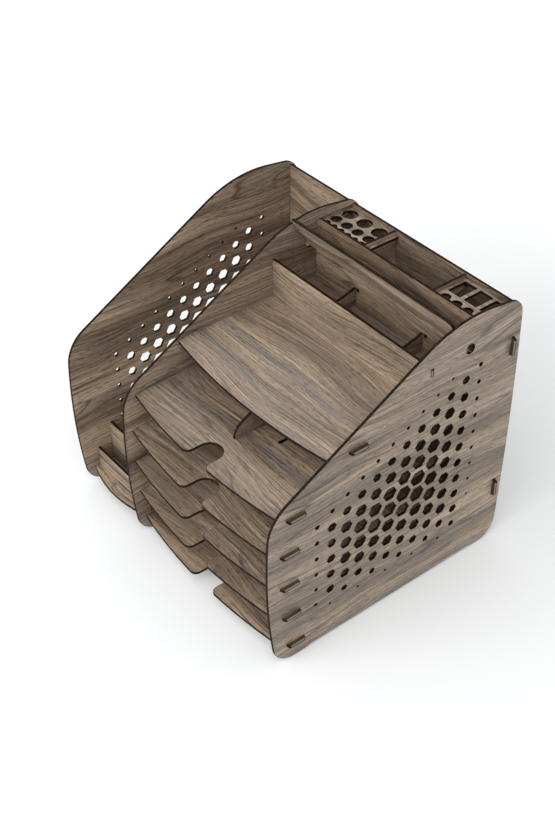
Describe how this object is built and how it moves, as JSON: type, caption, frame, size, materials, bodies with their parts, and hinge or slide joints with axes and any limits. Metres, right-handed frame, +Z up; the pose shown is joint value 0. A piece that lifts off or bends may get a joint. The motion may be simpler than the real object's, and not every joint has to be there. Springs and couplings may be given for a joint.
{
  "type": "desktop document rack",
  "caption": "Free-standing desktop document rack in thin walnut plywood, with stacked paper trays, an upright file bay, a lidded compartment and pen grids, joined by tenons in slots.",
  "frame": {"origin": "middle of the footprint of the whole rack, on the desk", "axes": "+X to the right seen from the front, +Y to the back, +Z up; the trays open to -Y"},
  "size_m": [0.334, 0.2983, 0.3081],
  "materials": {
    "walnut_plywood": "satin"
  },
  "bodies": {
    "rack": {"right_side_panel": "walnut_plywood", "middle_side_panel": "walnut_plywood", "left_side_panel": "walnut_plywood", "back_panel": "walnut_plywood", "document_tray_1": "walnut_plywood", "document_tray_2": "walnut_plywood", "document_tray_3": "walnut_plywood", "document_tray_4": "walnut_plywood", "document_tray_5": "walnut_plywood", "display_shelf": "walnut_plywood", "compartment_front_wall": "walnut_plywood", "compartment_rear_wall": "walnut_plywood", "compartment_left_divider": "walnut_plywood", "compartment_right_divider": "walnut_plywood", "pen_bay_left_wall": "walnut_plywood", "pen_bay_right_wall": "walnut_plywood", "round_pen_grid": "walnut_plywood", "window_pen_grid": "walnut_plywood", "file_bay_floor": "walnut_plywood", "file_bay_front_lip": "walnut_plywood", "file_bay_rear_lip": "walnut_plywood"},
    "lid": {"compartment_lid": "walnut_plywood"},
    "upper_partition": {"upper_tray_partition": "walnut_plywood"},
    "lower_partition": {"lower_tray_partition": "walnut_plywood"}
  },
  "joints": [
    {"name": "lid_hinge", "type": "hinge", "parent": "rack", "child": "lid", "pos_m": [0.0495, 0.08235, 0.2675], "axis": [-1, 0, 0], "range_deg": [-52.2, 46.6]},
    {"name": "upper_partition_slide", "type": "slide", "parent": "rack", "child": "upper_partition", "axis": [1, 0, 0], "range_m": [-0.03, 0.03]},
    {"name": "lower_partition_slide", "type": "slide", "parent": "rack", "child": "lower_partition", "axis": [1, 0, 0], "range_m": [-0.03, 0.03]}
  ]
}
